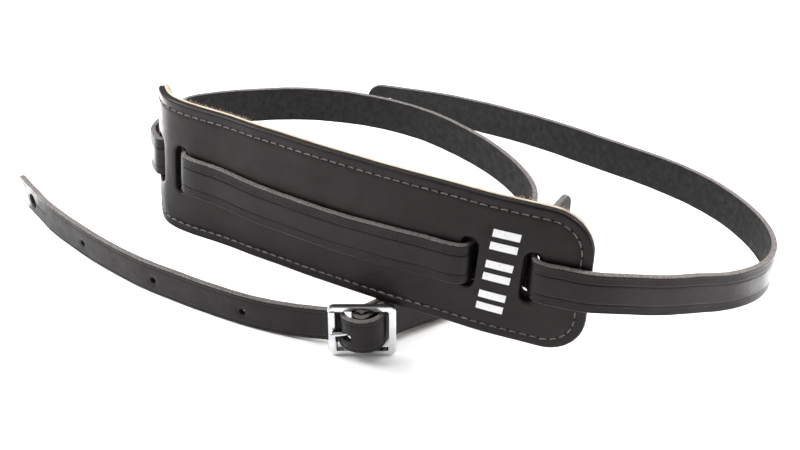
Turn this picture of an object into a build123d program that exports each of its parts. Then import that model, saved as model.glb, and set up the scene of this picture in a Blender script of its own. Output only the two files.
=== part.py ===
from build123d import *
import math
import os

# Leather guitar strap with a stitched shoulder pad and a small roller buckle, lying on edge.
# Millimetres, +Z up. The routes below are drawn on the floor from a point inside the loops;
# the finished pieces are then moved so that the origin is under the middle of the whole box.

# ---- Driving dimensions ----------------------------------------------------------------
STRAP_THICKNESS = 2.8
LONG_WIDTH = 19.0             # long strap, lower edge to upper edge
SHORT_WIDTH = 17.0            # adjuster strap with the buckle holes
PAD_HEIGHT = 67.0
PANEL_THICKNESS = 2.7         # front leather of the pad
LINING_THICKNESS = 2.1        # suede behind it
PAD_THICKNESS = PANEL_THICKNESS + LINING_THICKNESS
PAD_CORNER_RADIUS = 18.0
LAYER_GAP = 0.5               # air between leathers that lie on each other

SLOT_WIDTH = 7.6
SLOT_HEIGHT = 24.5
RIGHT_SLOTS = (24.0, 51.0)    # slot centres from the pad's right end
LEFT_SLOTS = (36.5, 20.5)     # slot centres from its left end
SLOT_LEAN = -4.0              # degrees, the right pair leans towards the right end

STITCH_PITCH = 4.3
STITCH_LENGTH = 3.0
STITCH_WIDTH = 0.7
STITCH_HEIGHT = 0.15
STITCH_GAP = 0.18             # under each stitch, so that it clears the bent leather
STITCH_INSET = 4.6            # from the pad's edge
FOLD_LENGTH = 52.0            # long strap's turned-back end, from the centre bar to its tip
FOLD_SEAM_FROM_END = 24.0
FOLD_SEAM_ROWS = (4.0, LONG_WIDTH - 4.0)
FOLD_SEAM_STITCHES = 4

BUTTON_HOLE_RADIUS = 4.0      # for a strap button
BUTTON_SLIT_LENGTH = 17.0
BUTTON_SLIT_WIDTH = 0.8
LONG_BUTTON_FROM_TIP = 14.0
SHORT_BUTTON_FROM_TIP = 20.0
ADJUST_HOLE_RADIUS = 2.0
ADJUST_HOLE_PITCH = 50.8
ADJUST_HOLE_FIRST = 71.5      # from the tip of the adjuster strap
ADJUST_HOLE_HEIGHT = 7.6
TIP_RADIUS_SHARE = 0.5        # rounded strap ends, as a share of the width

# ---- Buckle ----------------------------------------------------------------------------
BUCKLE_X = -1.5               # centre bar's axis
BUCKLE_Y = -106.0
BUCKLE_HEIGHT = 26.4
FRAME_CORNER_RADIUS = 2.8
RAIL_HEIGHT = 2.4             # top and bottom rails
RAIL_DEPTH = 2.8
ROLLER_BAR_U = -12.8          # roller axis, left of the centre bar
RIGHT_BAR_U = 13.3
RIGHT_BAR_WIDTH = 3.0
CENTRE_BAR_RADIUS = 1.6
ROLLER_BAR_RADIUS = 1.3
ROLLER_RADIUS = 2.1
ROLLER_BORE_RADIUS = 1.35
ROLLER_END_GAP = 0.15
PRONG_RADIUS = 1.05
PRONG_BORE_RADIUS = 1.67
PRONG_SLOT_HEIGHT = 4.0
MID_HEIGHT = BUCKLE_HEIGHT / 2

# ---- Routes ----------------------------------------------------------------------------
# Each point is x, y of the strap's middle and z of its lower edge.
LONG_FAR_RUN = [
    (-4, 124.5, 0), (6, 121.8, 0), (17, 117.5, 0.5), (31, 110.3, 2), (51, 97, 4.5), (74.5, 77.5, 8),
    (98.5, 54, 12), (121, 29.5, 15.5), (142.5, 5.5, 19), (160, -17, 21.5), (170, -35, 23),
    (176, -51, 24), (179, -66, 25), (179, -80, 26), (175.5, -93, 27), (168.5, -103, 28),
    (159, -110, 29), (148.5, -115.5, 31), (138, -120.5, 34), (128, -125, 36.5),
    (116.5, -129.5, 39.5), (105, -133.5, 43),
]
LONG_BOW_AND_BACK = [
    (-101.8, -26.5, 51), (-101.4, -15, 49.2), (-100.8, -3, 46.3), (-100.2, 10, 43), (-98, 23, 39.5),
    (-93.5, 35, 36.5), (-84.5, 45, 33.5), (-72.5, 54, 30.5), (-59, 60, 28.5), (-42, 64, 27),
    (-22, 65.5, 25), (-2, 63.5, 23), (17, 59, 20.5), (33, 51.5, 18.5), (46.5, 42, 16.5),
    (59, 30, 15), (70, 16.5, 13), (78, 3, 10.5), (82, -9, 8), (81, -19.5, 6), (77.2, -28.5, 4.7),
    (70.1, -42, 3.9), (61, -56.2, 3.7), (49.5, -68.7, 3.7), (37.3, -78.2, 3.7), (26.6, -85.3, 3.7),
]
SHORT_FREE_RUN = [
    (-186.5, 25, 0), (-183.5, 20.5, 0), (-177.5, 12, 0), (-171, 3.5, 0), (-165, -4.5, 0),
    (-157.5, -13, 0), (-148, -22.5, 0), (-133.5, -36, 0), (-119.5, -47.5, 0), (-106.5, -57, 0),
    (-93.5, -65, 0), (-81.5, -72, 0), (-69.5, -78.5, 0), (-57.5, -84.5, 0.1), (-46, -89.5, 0.4),
    (-34.5, -93.6, 0.9), (-25, -96.5, 1.6),
]
SHORT_TAIL = [
    (28.5, -88.5, 4.5), (39.5, -81.5, 4), (52, -71.5, 3.5), (64, -58.5, 2.5), (73.5, -44, 1.8),
    (81, -30.5, 1.2), (90, -16, 0.8), (102, 4, 0.8),
]
# Lower front edge of the pad, from its right end to its left end.
PAD_LINE = [
    (89.5, -134, 21), (77, -130, 21.5), (63, -125, 22.2), (48.5, -119.5, 22.8),
    (34, -112.5, 23.3), (18, -105, 23.7), (3, -97.5, 24), (-13.5, -89, 24.5), (-29.5, -80.5, 25),
    (-41, -74, 25.4), (-53, -67.5, 25.8), (-65, -60.5, 26.2), (-77, -54.5, 26.6), (-88, -48.5, 27),
    (-95.5, -42, 27.3), (-99.3, -34, 27.5), (-100.3, -26, 27.6), (-99.6, -18, 27.7),
]
# Sideways lean of the pad in degrees, top towards +X, by distance from its right end.
PAD_LEAN = [(0, 1), (60, 1.5), (150, 3), (200, 5), (240, 5)]
# How high the long strap's lower edge lies on the pad, by the same distance.
STRAP_ON_PAD = [(0, 24.5), (24, 24.2), (53, 22.8), (110, 20.6), (150, 21), (188, 23.8), (240, 24.3)]
# Sideways lean of the long strap, by distance from its free end.
LONG_LEAN = [(0, 0), (380, 0), (400, 1), (457, 1.5), (545, 3), (595, 5), (650, 5), (720, 0), (1200, 0)]
# Around the bars of the buckle: x and y from the centre bar's axis, z from the floor.
SHORT_AT_BUCKLE = [
    (-16.5, 7.2, 2.6), (-13.2, 5.6, 3.5), (-10.8, 4.2, 4.2), (-9.3, 2, 4.8), (-8.3, -0.8, 5.4),
    (-6.8, -3.5, 5.8), (-3.9, -5.8, 6), (0, -6.6, 6), (4, -5.9, 6), (6.9, -3.8, 6),
    (8.7, -0.8, 5.9), (9.8, 2.2, 5.7), (11.8, 5.3, 5.4), (15.8, 8.7, 5), (21.5, 12.5, 4.7),
]
LONG_AT_BUCKLE = [
    (19.6, 15.6, 3.7), (13.8, 11.5, 3.7), (9.6, 8, 3.7), (6.9, 5.1, 3.7), (4.7, 1.6, 3.7),
    (2.7, -1.8, 3.7), (0, -3.3, 3.7), (-2.3, -2.3, 3.7), (-3.3, 0, 3.7), (-2, 2.7, 3.7),
    (2.7, 6.2, 3.7), (7.6, 10.2, 3.7), (12, 13.9, 3.7), (17.9, 18.2, 3.7), (26.4, 23.5, 3.7),
    (37, 30.5, 3.7),
]

# ---- Stations along a route ------------------------------------------------------------
LONGEST_STEP = 9.0
LARGEST_TURN = 11.0           # degrees between two stations
SAMPLE_STEP = 0.5


def leftwards(direction):
    """Horizontal unit vector to the left of a direction of travel."""
    length = math.hypot(direction.X, direction.Y)
    return Vector(-direction.Y / length, direction.X / length, 0)


def heading(direction):
    return math.degrees(math.atan2(direction.Y, direction.X))


def turn_between(first, second):
    difference = heading(second) - heading(first)
    return abs((difference + 180) % 360 - 180)


def stations(route):
    """Distances, points and headings along a route, closer together where it bends."""
    count = max(2, round(route.length / SAMPLE_STEP))
    kept = []
    for index in range(count + 1):
        share = index / count
        point = route.position_at(share)
        direction = route.tangent_at(share)
        distance = share * route.length
        if kept and index < count:
            far_enough = distance - kept[-1][0] >= LONGEST_STEP
            turned = turn_between(kept[-1][2], direction) >= LARGEST_TURN
            if not far_enough and not turned:
                continue
        kept.append((distance, point, direction))
    return kept


def rounded_end_inset(distance, length, radius):
    """How far a corner of the given radius cuts into the edge, this far along the length."""
    from_end = min(distance, length - distance)
    if from_end >= radius:
        return 0.0
    return radius - math.sqrt(radius ** 2 - (radius - from_end) ** 2)


def level(route, distance):
    return 0.0


def up_vector(lean):
    return Vector(math.tan(math.radians(lean)), 0, 1)


def ribbon(route, width, near, far, corner_radius, lean_at=level):
    """Upright band along a route, between two offsets to its left, with rounded ends."""
    end_steps = [corner_radius * (1 - math.cos(math.radians(a))) for a in (8, 22, 38, 54, 72, 90)]
    distances = [kept[0] for kept in stations(route)]
    inner = [d for d in distances if corner_radius < d < route.length - corner_radius]
    ends = end_steps + [route.length - step for step in end_steps]
    sections = []
    for distance in sorted(inner + ends):
        share = distance / route.length
        point = route.position_at(share)
        left = leftwards(route.tangent_at(share))
        inset = rounded_end_inset(distance, route.length, corner_radius)
        up = up_vector(lean_at(route, distance))
        low = point + up * inset
        high = point + up * (width - inset)
        corners = [low + left * near, low + left * far, high + left * far, high + left * near]
        sections.append(Wire.make_polygon(corners, close=True))
    return Solid.make_loft(sections, ruled=True)


def strap(route, width, lean_at=level):
    half = STRAP_THICKNESS / 2
    return ribbon(route, width, -half, half, width * TIP_RADIUS_SHARE - 0.5, lean_at)


def place_on(route, distance, height, turned=0.0, lean=0.0):
    """Plane at a place along a route: x along it, y down, z out to its left."""
    share = distance / route.length
    up = up_vector(lean)
    along = route.tangent_at(share)
    flat = Vector(along.X, along.Y, 0).normalized()
    outward = up.cross(flat).normalized()
    origin = route.position_at(share) + up * height
    upright = Plane(origin=origin, x_dir=outward.cross(up), z_dir=outward)
    return Plane(upright.location * Rot(0, 0, turned))


def punched(solid, plane, sketch, depth):
    """Cut a flat outline straight through, depth each way from its plane."""
    tool = extrude(plane * sketch, amount=depth, both=True)
    return solid - tool


# ---- Routes as curves ------------------------------------------------------------------
def pad_route():
    return Spline(*PAD_LINE)


def between(table, place):
    """Straight-line reading of a short (place, value) table."""
    for (start, low), (end, high) in zip(table, table[1:]):
        if place <= end:
            return low + (high - low) * (place - start) / (end - start)
    return table[-1][1]


def pad_lean(route, distance):
    return between(PAD_LEAN, distance)


def beside_pad(route, distance, depth):
    """Point of the long strap, this far along the pad and behind its front face."""
    share = distance / route.length
    lift = up_vector(pad_lean(route, distance)) * between(STRAP_ON_PAD, distance)
    behind = leftwards(route.tangent_at(share)) * -depth
    return route.position_at(share) + behind + lift


def at_buckle(points):
    return [Vector(BUCKLE_X + u, BUCKLE_Y + v, z) for u, v, z in points]


def weave_through_pad(pad):
    """The long strap's way through the pad's four slots, front to back and front again."""
    front = -(STRAP_THICKNESS / 2 + LAYER_GAP)
    back = PAD_THICKNESS + STRAP_THICKNESS / 2 + LAYER_GAP
    reach = 4.8
    shares = ((-reach, 0.0), (-1.7, 0.14), (0.0, 0.5), (1.7, 0.86), (reach, 1.0))
    slots = [distance for distance, turned in slot_places(pad)]

    def crossing(centre, start, end):
        return [
            beside_pad(pad, centre + along, start + share * (end - start))
            for along, share in shares
        ]

    def flat_run(start, end, depth, count):
        step = (end - start) / (count + 1)
        return [beside_pad(pad, start + step * (i + 1), depth) for i in range(count)]

    points = flat_run(-4, slots[0] - reach, front, 2)
    points += crossing(slots[0], front, back)
    points += flat_run(slots[0] + reach, slots[1] - reach, back, 2)
    points += crossing(slots[1], back, front)
    points += flat_run(slots[1] + reach, slots[2] - reach, front, 9)
    points += crossing(slots[2], front, back)
    points += flat_run(slots[2] + reach, slots[3] - reach, back, 1)
    points += crossing(slots[3], back, front)
    return points


def long_strap_lean(route, distance):
    """The strap leans with the pad while it is threaded through it."""
    return between(LONG_LEAN, distance)


def long_route(pad):
    points = [Vector(*p) for p in LONG_FAR_RUN]
    points += weave_through_pad(pad)
    points += [Vector(*p) for p in LONG_BOW_AND_BACK]
    points += at_buckle(LONG_AT_BUCKLE)
    return Spline(*points)


def short_route():
    points = [Vector(*p) for p in SHORT_FREE_RUN]
    points += at_buckle(SHORT_AT_BUCKLE)
    points += [Vector(*p) for p in SHORT_TAIL]
    return Spline(*points)


# ---- Straps ----------------------------------------------------------------------------
def button_hole(solid, route, width, from_tip):
    """Round hole for a strap button, with the slit that lets it pop on."""
    plane = place_on(route, from_tip, width / 2)
    solid = punched(solid, plane, Circle(BUTTON_HOLE_RADIUS), STRAP_THICKNESS)
    slit = Pos(BUTTON_SLIT_LENGTH / 2, 0) * Rectangle(BUTTON_SLIT_LENGTH, BUTTON_SLIT_WIDTH)
    return punched(solid, plane, slit, STRAP_THICKNESS)


def prong_slot_cutter():
    """Space inside the folded end of the long strap where the prong's loop turns."""
    centre = Pos(BUCKLE_X - 1, BUCKLE_Y + 0.5, MID_HEIGHT)
    return centre * Box(11.5, 13, PRONG_SLOT_HEIGHT)


def make_long_strap(route):
    solid = strap(route, LONG_WIDTH, long_strap_lean)
    solid = button_hole(solid, route, LONG_WIDTH, LONG_BUTTON_FROM_TIP)
    return solid - prong_slot_cutter()


def make_short_strap(route):
    solid = strap(route, SHORT_WIDTH)
    solid = button_hole(solid, route, SHORT_WIDTH, SHORT_BUTTON_FROM_TIP)
    for number in range(3):
        distance = ADJUST_HOLE_FIRST + number * ADJUST_HOLE_PITCH
        plane = place_on(route, distance, ADJUST_HOLE_HEIGHT)
        solid = punched(solid, plane, Circle(ADJUST_HOLE_RADIUS), STRAP_THICKNESS)
    return solid - prong_hole_cutter()


def prong_hole_cutter():
    """The hole in use, pulled oval by the prong that passes through it."""
    plane = Plane(
        origin=(BUCKLE_X - 6.7, BUCKLE_Y - 3.4, MID_HEIGHT),
        x_dir=(0.66, -0.75, 0),
        z_dir=(-0.75, -0.66, 0),
    )
    return extrude(plane * SlotOverall(8.5, 2 * ADJUST_HOLE_RADIUS), amount=6, both=True)


# ---- Pad -------------------------------------------------------------------------------
def slot_places(pad):
    right = [(distance, SLOT_LEAN) for distance in RIGHT_SLOTS]
    left = [(pad.length - distance, 0.0) for distance in LEFT_SLOTS]
    return right + left


def make_pad_layer(pad, near, far):
    """One leather layer of the pad, near and far being depths behind the front face."""
    solid = ribbon(pad, PAD_HEIGHT, -far, -near, PAD_CORNER_RADIUS, pad_lean)
    for distance, turned in slot_places(pad):
        plane = place_on(pad, distance, PAD_HEIGHT / 2, turned, pad_lean(pad, distance))
        outline = Rot(0, 0, 90) * SlotOverall(SLOT_HEIGHT, SLOT_WIDTH)
        solid = punched(solid, plane, outline, PAD_THICKNESS + 4)
    return solid


def seam_places(length):
    """Evenly spaced (distance, height, angle) places round the pad, inset from its edge."""
    radius = PAD_CORNER_RADIUS - STITCH_INSET
    outline = RectangleRounded(length - 2 * STITCH_INSET, PAD_HEIGHT - 2 * STITCH_INSET, radius)
    seam = outline.face().outer_wire()
    count = round(seam.length / STITCH_PITCH)
    places = []
    for index in range(count):
        share = index / count
        point = seam.position_at(share)
        angle = -heading(seam.tangent_at(share))
        places.append((length / 2 + point.X, PAD_HEIGHT / 2 + point.Y, angle))
    return places


def stitch_on(plane, outward):
    """One stitch lying on a surface, outward being +1 or -1 along the plane's z."""
    lift = outward * (STITCH_HEIGHT / 2 + STITCH_GAP)
    return plane * Pos(0, 0, lift) * Box(STITCH_LENGTH, STITCH_WIDTH, STITCH_HEIGHT)


def make_pad_stitches(pad, depth, outward):
    stitches = []
    for distance, height, angle in seam_places(pad.length):
        plane = place_on(pad, distance, height, angle, pad_lean(pad, distance))
        stitches.append(stitch_on(plane.offset(-depth), outward))
    return Compound(stitches)


def make_fold_stitches(route, on_tail):
    """Two rows of stitches that close the folded end, seen on its main layer or on its tail."""
    start = route.length - FOLD_SEAM_FROM_END
    step = STITCH_PITCH
    if not on_tail:
        start = route.length - 2 * FOLD_LENGTH + FOLD_SEAM_FROM_END
        step = -STITCH_PITCH
    stitches = []
    for row in FOLD_SEAM_ROWS:
        for number in range(FOLD_SEAM_STITCHES):
            plane = place_on(route, start + number * step, row)
            stitches.append(stitch_on(plane.offset(STRAP_THICKNESS / 2), 1))
    return Compound(stitches)


# ---- Buckle ----------------------------------------------------------------------------
def upright_bar(u, radius, low, high):
    return Pos(BUCKLE_X + u, BUCKLE_Y, low) * Cylinder(
        radius, high - low, align=(Align.CENTER, Align.CENTER, Align.MIN)
    )


def make_buckle_frame():
    left = ROLLER_BAR_U - ROLLER_RADIUS
    right = RIGHT_BAR_U + RIGHT_BAR_WIDTH / 2
    middle = Plane(
        origin=(BUCKLE_X + (left + right) / 2, BUCKLE_Y, MID_HEIGHT), x_dir=(1, 0, 0), z_dir=(0, -1, 0)
    )
    outer = RectangleRounded(right - left, BUCKLE_HEIGHT, FRAME_CORNER_RADIUS)
    plate = extrude(middle * outer, amount=RAIL_DEPTH / 2, both=True)
    plate = chamfer(plate.edges(), 0.35)
    window_left = left - 4
    window_right = right - RIGHT_BAR_WIDTH
    inner = RectangleRounded(window_right - window_left, BUCKLE_HEIGHT - 2 * RAIL_HEIGHT, 1.3)
    beside = Pos((window_left + window_right - left - right) / 2, 0)
    plate -= extrude(middle * beside * inner, amount=RAIL_DEPTH, both=True)
    low = RAIL_HEIGHT - 0.5
    high = BUCKLE_HEIGHT - RAIL_HEIGHT + 0.5
    plate += upright_bar(0, CENTRE_BAR_RADIUS, low, high)
    plate += upright_bar(ROLLER_BAR_U, ROLLER_BAR_RADIUS, low, high)
    return plate


def make_buckle_roller():
    low = RAIL_HEIGHT + ROLLER_END_GAP
    high = BUCKLE_HEIGHT - RAIL_HEIGHT - ROLLER_END_GAP
    tube = upright_bar(ROLLER_BAR_U, ROLLER_RADIUS, low, high)
    return tube - upright_bar(ROLLER_BAR_U, ROLLER_BORE_RADIUS, low - 1, high + 1)


def make_buckle_prong():
    """Wire prong: a loop round the centre bar and a straight finger resting on the roller."""
    loop_radius = PRONG_BORE_RADIUS + PRONG_RADIUS
    loop = Pos(BUCKLE_X, BUCKLE_Y, MID_HEIGHT) * Torus(loop_radius, PRONG_RADIUS)
    start = Vector(BUCKLE_X - 1.2, BUCKLE_Y - 2.05, MID_HEIGHT)
    end = Vector(BUCKLE_X - 12.9, BUCKLE_Y - 3.33, MID_HEIGHT)
    direction = (end - start).normalized()
    finger = Plane(origin=start, z_dir=direction) * Cylinder(
        PRONG_RADIUS, (end - start).length, align=(Align.CENTER, Align.CENTER, Align.MIN)
    )
    prong = loop + finger + Pos(end) * Sphere(PRONG_RADIUS)
    return prong - upright_bar(0, PRONG_BORE_RADIUS, 0, BUCKLE_HEIGHT)


# ---- All pieces ------------------------------------------------------------------------
def make_parts():
    pad = pad_route()
    long_line = long_route(pad)
    short_line = short_route()
    print("long strap length", round(long_line.length), "adjuster strap length", round(short_line.length))
    print("pad length", round(pad.length, 1))
    return {
        "long_strap": make_long_strap(long_line),
        "adjuster_strap": make_short_strap(short_line),
        "pad_front_panel": make_pad_layer(pad, 0.0, PANEL_THICKNESS),
        "pad_lining": make_pad_layer(pad, PANEL_THICKNESS, PAD_THICKNESS),
        "pad_front_stitches": make_pad_stitches(pad, 0.0, 1),
        "pad_back_stitches": make_pad_stitches(pad, PAD_THICKNESS, -1),
        "fold_front_stitches": make_fold_stitches(long_line, False),
        "fold_back_stitches": make_fold_stitches(long_line, True),
        "buckle_frame": make_buckle_frame(),
        "buckle_roller": make_buckle_roller(),
        "buckle_prong": make_buckle_prong(),
    }


def origin_shift(parts):
    """Move that puts the origin on the floor, under the middle of all pieces together."""
    boxes = [shape.bounding_box() for shape in parts.values()]
    low = [min(getattr(box.min, axis) for box in boxes) for axis in "XYZ"]
    high = [max(getattr(box.max, axis) for box in boxes) for axis in "XYZ"]
    return Vector(-(low[0] + high[0]) / 2, -(low[1] + high[1]) / 2, -low[2])


def main():
    os.makedirs("parts", exist_ok=True)
    parts = make_parts()
    shift = origin_shift(parts)
    print("routes moved by", round(shift.X, 3), round(shift.Y, 3), round(shift.Z, 3))
    for name, shape in parts.items():
        moved = Location(shift) * shape
        moved.label = name
        export_step(moved, f"parts/{name}.step")


main()
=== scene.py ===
"""Looks of a black leather guitar strap with a stitched shoulder pad and a roller buckle.

Lengths are millimetres until make_mesh turns them into metres. Routes are the same ones that
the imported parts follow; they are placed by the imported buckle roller.
"""

import math
import random

import bmesh
import bpy
import numpy as np
from mathutils import Euler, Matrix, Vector
from mathutils.geometry import delaunay_2d_cdt


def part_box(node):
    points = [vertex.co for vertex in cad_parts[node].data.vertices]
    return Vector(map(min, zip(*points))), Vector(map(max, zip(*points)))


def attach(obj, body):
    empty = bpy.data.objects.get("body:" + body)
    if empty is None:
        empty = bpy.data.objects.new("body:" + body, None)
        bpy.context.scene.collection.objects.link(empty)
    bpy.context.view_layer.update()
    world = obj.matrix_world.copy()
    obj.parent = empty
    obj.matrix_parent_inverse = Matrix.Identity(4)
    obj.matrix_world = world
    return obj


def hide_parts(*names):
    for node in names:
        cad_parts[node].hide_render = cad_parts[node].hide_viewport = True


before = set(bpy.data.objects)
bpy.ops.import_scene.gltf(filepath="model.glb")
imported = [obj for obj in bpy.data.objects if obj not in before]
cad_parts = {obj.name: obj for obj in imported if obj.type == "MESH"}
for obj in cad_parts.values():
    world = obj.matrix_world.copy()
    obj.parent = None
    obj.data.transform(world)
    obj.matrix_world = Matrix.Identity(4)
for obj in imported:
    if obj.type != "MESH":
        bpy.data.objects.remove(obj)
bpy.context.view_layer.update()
random.seed(4)
MM = 0.001

# ---- Driving dimensions, millimetres ---------------------------------------------------
STRAP_THICKNESS = 2.8
LONG_WIDTH = 19.0
SHORT_WIDTH = 17.0
PAD_HEIGHT = 67.0
PANEL_THICKNESS = 2.7
PAD_THICKNESS = 4.8
PAD_CORNER_RADIUS = 18.0
LAYER_GAP = 0.5
SLOT_WIDTH = 7.6
SLOT_HEIGHT = 24.5
RIGHT_SLOTS = (24.0, 51.0)
LEFT_SLOTS = (36.5, 20.5)
LINING_SLOT_HEIGHT = 20.0
LINING_SLOT_WIDTH = 5.4
LINING_SLOT_SHIFT = 0.8       # towards the side where the strap goes through the lining
SLOT_LEAN = -4.0
STITCH_PITCH = 4.3
STITCH_LENGTH = 3.1
STITCH_RADIUS = 0.32
AWL_RADIUS = 0.55
STITCH_INSET = 4.6
FOLD_LENGTH = 52.0
FOLD_SEAM_FROM_END = 24.0
FOLD_SEAM_ROWS = (4.0, LONG_WIDTH - 4.0)
FOLD_SEAM_STITCHES = 4
BUTTON_HOLE_RADIUS = 4.0
BUTTON_SLIT_LENGTH = 17.0
BUTTON_SLIT_WIDTH = 0.8
LONG_BUTTON_FROM_TIP = 14.0
SHORT_BUTTON_FROM_TIP = 20.0
ADJUST_HOLE_RADIUS = 2.0
ADJUST_HOLES = (71.5, 122.3, 173.1)
ADJUST_HOLE_HEIGHT = 7.6
PUNCH_TAPER = 0.5             # punched holes close up towards the flesh side
BUCKLE_X = -1.5
BUCKLE_Y = -106.0
ROLLER_BAR_U = -12.8
ROLLER_LOW = 2.55
MID_HEIGHT = 13.2
STRAP_EDGE_RADIUS = 0.75
PAD_EDGE_RADIUS = 0.9
HATCH_FROM = 0.9              # rope pattern pressed along both edges of the long strap
HATCH_TO = 4.0
HATCH_PITCH = 1.7
HATCH_DEPTH = 0.34
GROOVE_FROM_EDGE = 4.7
GROOVE_DEPTH = 0.34
CREASE_FROM_EDGE = 2.1        # single crease line of the adjuster strap
CREASE_DEPTH = 0.26
STRAP_SKIN = 0.06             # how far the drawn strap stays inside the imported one
CUTTER_MARGIN = 0.3
CROSSING_REACH = 4.8          # half the length in which the long strap goes through a slot
CROSSING_BEND = 1.7
PRONG_ROOM_AT = (-1.0, 0.5)   # from the centre bar
PRONG_ROOM = (11.5, 13.0, 4.0)
PRONG_HOLE_AT = (-6.7, -3.4)
PRONG_HOLE_ACROSS = (0.66, -0.75)
PRONG_HOLE_LENGTH = 8.5
PRONG_HOLE_REACH = 6.0
BAR_LENGTH = 11.5             # printed bars, in pairs up the pad's right end
BAR_HEIGHT = 3.6
BAR_PITCH = 6.2
BAR_PAIR_PITCH = 15.4
BAR_LOWEST = 14.0
BARS_ALONG = 37.5
BAR_LEAN = 0.13
BAR_COLUMNS = 12

# ---- Mesh steps, millimetres, and the order of a strap's four materials -----------------
STATION_STEP = 0.42
PAD_GRID = 1.5
FUZZ_STEP = 0.9
ROUTE_STEP = 0.1
TANGENT_REACH = 0.3
SHARP_ANGLE = math.radians(50)
GRAIN, FLESH, EDGE, PAINTED_SHADE_WALL = range(4)

# ---- Routes: x, y of the strap's middle and z of its lower edge ------------------------
LONG_FAR_RUN = [
    (-4, 124.5, 0), (6, 121.8, 0), (17, 117.5, 0.5), (31, 110.3, 2), (51, 97, 4.5), (74.5, 77.5, 8),
    (98.5, 54, 12), (121, 29.5, 15.5), (142.5, 5.5, 19), (160, -17, 21.5), (170, -35, 23),
    (176, -51, 24), (179, -66, 25), (179, -80, 26), (175.5, -93, 27), (168.5, -103, 28),
    (159, -110, 29), (148.5, -115.5, 31), (138, -120.5, 34), (128, -125, 36.5),
    (116.5, -129.5, 39.5), (105, -133.5, 43),
]
LONG_BOW_AND_BACK = [
    (-101.8, -26.5, 51), (-101.4, -15, 49.2), (-100.8, -3, 46.3), (-100.2, 10, 43), (-98, 23, 39.5),
    (-93.5, 35, 36.5), (-84.5, 45, 33.5), (-72.5, 54, 30.5), (-59, 60, 28.5), (-42, 64, 27),
    (-22, 65.5, 25), (-2, 63.5, 23), (17, 59, 20.5), (33, 51.5, 18.5), (46.5, 42, 16.5),
    (59, 30, 15), (70, 16.5, 13), (78, 3, 10.5), (82, -9, 8), (81, -19.5, 6), (77.2, -28.5, 4.7),
    (70.1, -42, 3.9), (61, -56.2, 3.7), (49.5, -68.7, 3.7), (37.3, -78.2, 3.7), (26.6, -85.3, 3.7),
]
SHORT_FREE_RUN = [
    (-186.5, 25, 0), (-183.5, 20.5, 0), (-177.5, 12, 0), (-171, 3.5, 0), (-165, -4.5, 0),
    (-157.5, -13, 0), (-148, -22.5, 0), (-133.5, -36, 0), (-119.5, -47.5, 0), (-106.5, -57, 0),
    (-93.5, -65, 0), (-81.5, -72, 0), (-69.5, -78.5, 0), (-57.5, -84.5, 0.1), (-46, -89.5, 0.4),
    (-34.5, -93.6, 0.9), (-25, -96.5, 1.6),
]
SHORT_TAIL = [
    (28.5, -88.5, 4.5), (39.5, -81.5, 4), (52, -71.5, 3.5), (64, -58.5, 2.5), (73.5, -44, 1.8),
    (81, -30.5, 1.2), (90, -16, 0.8), (102, 4, 0.8),
]
PAD_LINE = [
    (89.5, -134, 21), (77, -130, 21.5), (63, -125, 22.2), (48.5, -119.5, 22.8),
    (34, -112.5, 23.3), (18, -105, 23.7), (3, -97.5, 24), (-13.5, -89, 24.5), (-29.5, -80.5, 25),
    (-41, -74, 25.4), (-53, -67.5, 25.8), (-65, -60.5, 26.2), (-77, -54.5, 26.6), (-88, -48.5, 27),
    (-95.5, -42, 27.3), (-99.3, -34, 27.5), (-100.3, -26, 27.6), (-99.6, -18, 27.7),
]
PAD_LEAN = [(0, 1), (60, 1.5), (150, 3), (200, 5), (240, 5)]
STRAP_ON_PAD = [(0, 24.5), (24, 24.2), (53, 22.8), (110, 20.6), (150, 21), (188, 23.8), (240, 24.3)]
LONG_LEAN = [(0, 0), (380, 0), (400, 1), (457, 1.5), (545, 3), (595, 5), (650, 5), (720, 0), (1200, 0)]
NO_LEAN = [(0, 0), (1200, 0)]
SHORT_AT_BUCKLE = [
    (-16.5, 7.2, 2.6), (-13.2, 5.6, 3.5), (-10.8, 4.2, 4.2), (-9.3, 2, 4.8), (-8.3, -0.8, 5.4),
    (-6.8, -3.5, 5.8), (-3.9, -5.8, 6), (0, -6.6, 6), (4, -5.9, 6), (6.9, -3.8, 6),
    (8.7, -0.8, 5.9), (9.8, 2.2, 5.7), (11.8, 5.3, 5.4), (15.8, 8.7, 5), (21.5, 12.5, 4.7),
]
LONG_AT_BUCKLE = [
    (19.6, 15.6, 3.7), (13.8, 11.5, 3.7), (9.6, 8, 3.7), (6.9, 5.1, 3.7), (4.7, 1.6, 3.7),
    (2.7, -1.8, 3.7), (0, -3.3, 3.7), (-2.3, -2.3, 3.7), (-3.3, 0, 3.7), (-2, 2.7, 3.7),
    (2.7, 6.2, 3.7), (7.6, 10.2, 3.7), (12, 13.9, 3.7), (17.9, 18.2, 3.7), (26.4, 23.5, 3.7),
    (37, 30.5, 3.7),
]

# ---- Camera, millimetres on the routes' plan -------------------------------------------
CAMERA_PLACE = (15.0, -507.0, 328.0)
CAMERA_PITCH = 57.0
CAMERA_LENS = 52.43


def routes_shift():
    """Move from the routes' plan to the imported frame, in millimetres."""
    low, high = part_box("buckle_roller")
    middle = (low + high) / 2 / MM
    return np.array([
        middle.x - BUCKLE_X - ROLLER_BAR_U,
        middle.y - BUCKLE_Y,
        low.z / MM - ROLLER_LOW,
    ])


SHIFT = routes_shift()


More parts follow.
